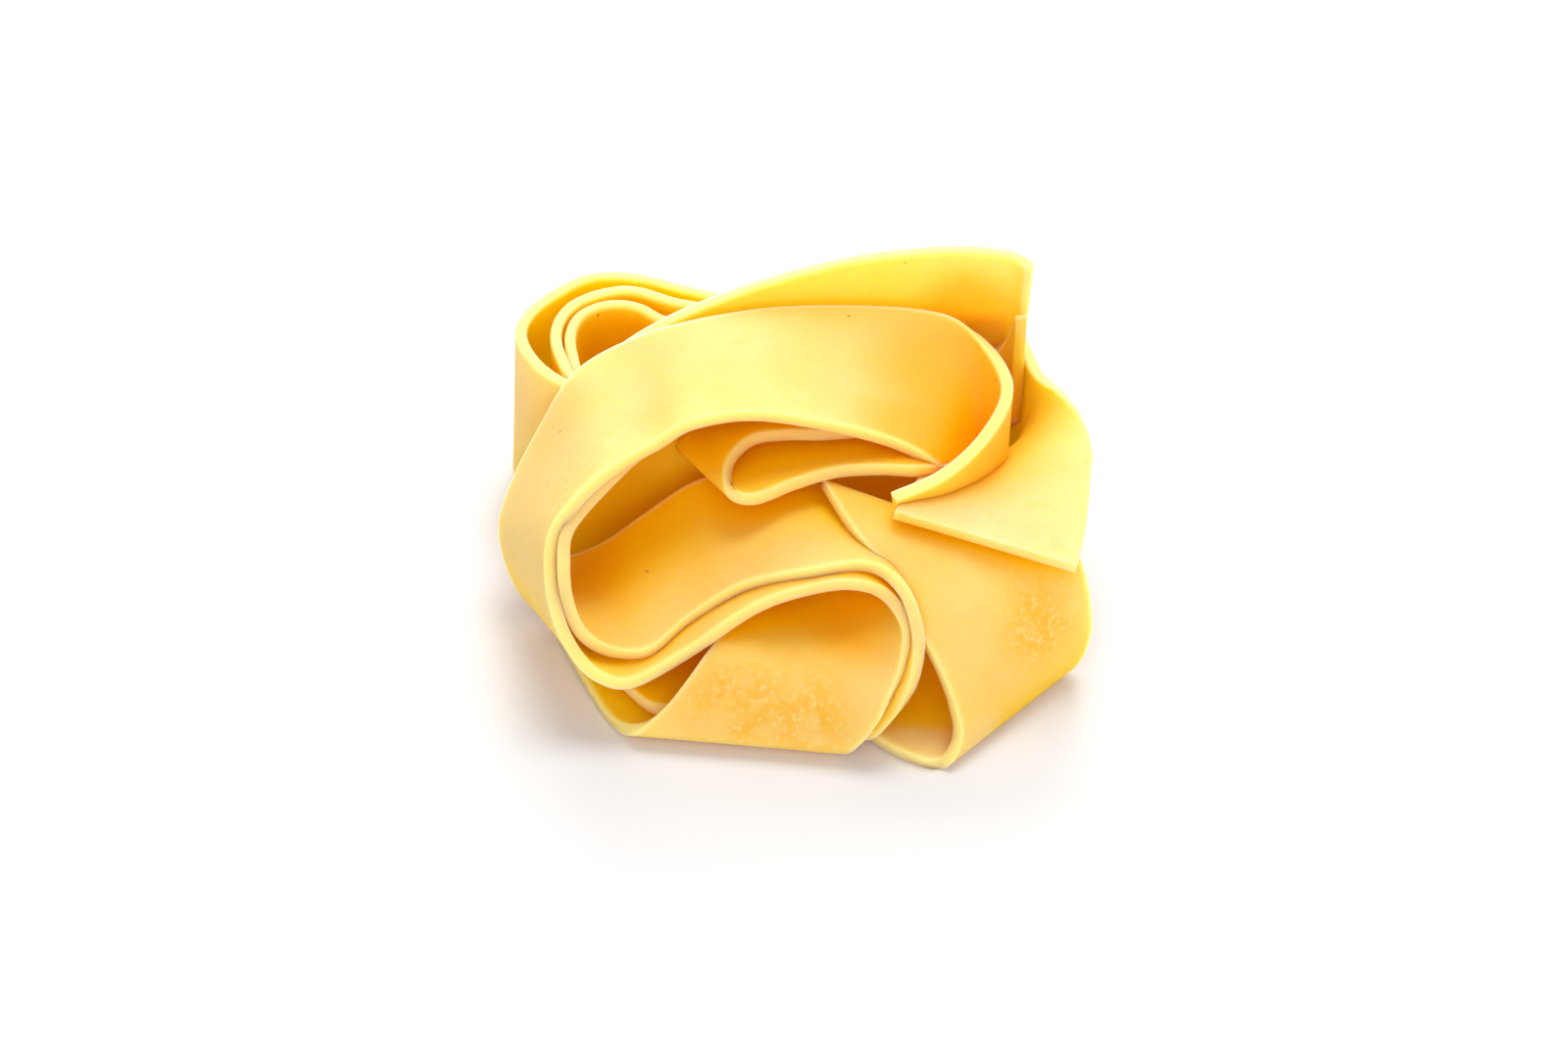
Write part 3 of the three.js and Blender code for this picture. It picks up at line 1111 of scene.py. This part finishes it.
@dataclass
class Core:
    """The middle of the nest, which stands in for the folds that can't be seen.

    Two of the lumps reach into the first one and start a little above its foot, so that their feet
    don't lie in one plane with it. Sizes are millimetres, and the angle is degrees.
    """

    lumps: list[CoreLump] = field(default_factory=lambda: [
        CoreLump(1, 3, 19, 14, 2.5),
        CoreLump(1.5, 16.7, 19, 7.3, 19, foot=0.3),
        CoreLump(3, -3.5, 13, 10.5, 7.5, foot=0.3),
    ])
    rounding: float = 1.2
    rounding_segments: int = 3
    rounding_angle: float = 60.0
    name: str = "nest_core"

    def build(self, dough: bpy.types.Material) -> bpy.types.Object:
        """Makes the core.

        Args:
            dough: The material.

        Returns:
            The core.
        """
        shape = bmesh.new()
        for lump in self.lumps:
            lump.add_to(shape)
        mesh = bpy.data.meshes.new(self.name)
        shape.to_mesh(mesh)
        shape.free()
        mesh.materials.append(dough)
        piece = bpy.data.objects.new(self.name, mesh)
        bpy.context.collection.objects.link(piece)
        round_edges(piece, self.rounding, self.rounding_segments, self.rounding_angle)
        return flatten(piece)


@dataclass(frozen=True)
class SoftBox:
    """A square lamp that shines on the nest. Its place and its side are metres, its power watts."""

    name: str
    place: Place
    side: float
    power: float

    def build(self) -> None:
        """Makes the lamp and turns it towards the nest."""
        light = bpy.data.lights.new(self.name, "AREA")
        light.size = self.side
        light.energy = self.power
        lamp = bpy.data.objects.new(self.name, light)
        lamp.location = self.place
        lamp.rotation_euler = (-Vector(self.place)).to_track_quat("-Z", "Y").to_euler()
        bpy.context.collection.objects.link(lamp)


@dataclass(frozen=True)
class PaperFinish:
    """Plain pale paper, even and matte."""

    name: str = "floor_paper"
    shade: float = 0.74
    roughness: float = 0.9
    specular: float = 0.1

    def build(self) -> bpy.types.Material:
        """Makes the material.

        Returns:
            The finished material.
        """
        material = bpy.data.materials.new(self.name)
        material.use_nodes = True
        graph = Graph(material.node_tree)
        shader = graph.node("ShaderNodeBsdfPrincipled", inputs={
            "Base Color": (self.shade, self.shade, self.shade, 1.0),
            "Roughness": self.roughness,
            "Specular IOR Level": self.specular,
        })
        graph.node("ShaderNodeOutputMaterial", inputs={"Surface": shader}, output=None)
        return material


@dataclass
class Studio:
    """The pale floor, the soft lights and the camera. Sizes are metres, and angles degrees."""

    floor_reach: float = 4.0
    paper: PaperFinish = PaperFinish()
    sky_strength: float = 0.52
    lamps: tuple[SoftBox, ...] = (
        SoftBox("top_box", (0.1, 0.25, 0.85), side=0.4, power=4.1),
        SoftBox("back_box", (0.0, 0.8, 0.4), side=0.7, power=7.6),
        SoftBox("front_box", (0.0, -0.75, 0.45), side=0.7, power=4.0),
    )
    elevation: float = 40.0
    distance: float = 0.357
    target: Place = (-0.0014, 0.0, 0.0132)
    lens: float = 70.0
    sensor: float = 36.0
    nearest: float = 0.01

    def build(self, shift: Vector) -> None:
        """Sets up the studio.

        Args:
            shift: How far the nest was moved from its drawing to its frame.
        """
        bpy.context.scene.view_settings.view_transform = "Standard"
        self._floor()
        self._sky()
        for lamp in self.lamps:
            lamp.build()
        self._camera(Vector(self.target) + shift)

    def _floor(self) -> None:
        """Makes the floor."""
        mesh = bpy.data.meshes.new("floor")
        low, high = -self.floor_reach, self.floor_reach
        corners = [(low, low, 0.0), (high, low, 0.0), (high, high, 0.0), (low, high, 0.0)]
        mesh.from_pydata(corners, [], [(0, 1, 2, 3)])
        floor = bpy.data.objects.new("floor", mesh)
        bpy.context.collection.objects.link(floor)
        mesh.materials.append(self.paper.build())

    def _sky(self) -> None:
        """Makes the even white light all round."""
        world = bpy.data.worlds.new("studio")
        world.use_nodes = True
        graph = Graph(world.node_tree)
        inputs = {"Color": (1.0, 1.0, 1.0, 1.0), "Strength": self.sky_strength}
        glow = graph.node("ShaderNodeBackground", inputs=inputs)
        graph.node("ShaderNodeOutputWorld", inputs={"Surface": glow}, output=None)
        bpy.context.scene.world = world

    def _camera(self, target: Vector) -> None:
        """Places the camera.

        Args:
            target: The point at the middle of the view.
        """
        lens = bpy.data.cameras.new("camera")
        lens.lens = self.lens
        lens.sensor_width = self.sensor
        lens.sensor_fit = "HORIZONTAL"
        lens.clip_start = self.nearest
        tilt = math.radians(self.elevation)
        camera = bpy.data.objects.new("camera", lens)
        camera.location = target + Vector((0.0, -math.cos(tilt), math.sin(tilt))) * self.distance
        camera.rotation_euler = (math.radians(90.0 - self.elevation), 0.0, 0.0)
        bpy.context.collection.objects.link(camera)
        bpy.context.scene.camera = camera


@dataclass
class Nest:
    """The whole nest: its core and its ribbons, some of them in a paler copy of the dough that is painted
    light.
    """

    ribbons: list[Ribbon] = field(default_factory=lambda: [
        Ribbon("ribbon_top", TOP_ROUTE, seed=1.3),
        Ribbon("ribbon_inner", INNER_ROUTE, seed=2.1),
        Ribbon("ribbon_slope", SLOPE_ROUTE, seed=3.7),
        Ribbon("ribbon_flap", FLAP_ROUTE, seed=4.2, is_painted_lit=True),
        Ribbon("ribbon_hairpin", HAIRPIN_ROUTE, seed=5.9),
        Ribbon("ribbon_back_wall", BACK_WALL, Lay.ON_EDGE, seed=6.4, is_painted_lit=True),
        Ribbon("ribbon_outer_loop", OUTER_LOOP, Lay.ON_EDGE, seed=7.8),
        Ribbon("ribbon_middle_loop", MIDDLE_LOOP, Lay.ON_EDGE, seed=8.1),
        Ribbon("ribbon_inner_loop", INNER_LOOP, Lay.ON_EDGE, seed=9.5),
        Ribbon("ribbon_middle_wall", MIDDLE_WALL, Lay.ON_EDGE, MIDDLE_WALL_WIDTH, seed=10.6),
        Ribbon("ribbon_tucked_end", TUCKED_END, Lay.ON_EDGE, TUCKED_END_WIDTH, seed=11.2, is_painted_lit=True),
    ])
    core: Core = field(default_factory=Core)
    dough: DoughFinish = DoughFinish("egg_dough")
    # Painted light: a paler copy of the dough, with its own painted fold shade, for the flap, the back
    # wall and the tucked end.
    painted_lit_dough: DoughFinish = DoughFinish(
        "egg_dough_painted_lit",
        face=(0.99, 0.61, 0.25),
        pale=(0.99, 0.65, 0.31),
        painted_shade=Tint((0.99, 0.55, 0.02)),
    )

    def build(self) -> tuple[list[bpy.types.Object], Vector]:
        """Makes every piece, moves the nest into its frame and hands the pieces over.

        Returns:
            The pieces, and how far the nest was moved.
        """
        dough = self.dough.build()
        painted_lit_dough = self.painted_lit_dough.build()
        tree = StripTree()
        pieces = [self.core.build(dough)]
        for ribbon in self.ribbons:
            pieces.append(ribbon.build(tree, painted_lit_dough if ribbon.is_painted_lit else dough))
        shift = self._settle(pieces)
        for piece in pieces:
            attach(piece, BODY)
            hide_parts(NODE)
        return pieces, shift

    def _settle(self, pieces: Sequence[bpy.types.Object]) -> Vector:
        """Moves the pieces so that their box stands where the solid's box stands.

        Args:
            pieces: All pieces of the nest.

        Returns:
            How far they were moved.
        """
        points = [vertex.co for piece in pieces for vertex in piece.data.vertices]
        low, high = (Vector(pick(p[axis] for p in points) for axis in range(3)) for pick in (min, max))
        cad_low, cad_high = (Vector(corner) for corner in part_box(NODE))
        shift = (cad_low + cad_high - low - high) / 2.0
        shift.z = cad_low.z - low.z
        for piece in pieces:
            piece.data.transform(Matrix.Translation(shift))
        return shift


def main() -> None:
    """Builds the nest and the studio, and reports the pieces."""
    logging.basicConfig(level=logging.INFO, format="%(message)s")
    pieces, shift = Nest().build()
    for piece in pieces:
        LOG.info("%s: %d faces", piece.name, len(piece.data.polygons))
    LOG.info("moved by %s", tuple(round(value, 5) for value in shift))
    Studio().build(shift)


if __name__ == "__main__":
    main()
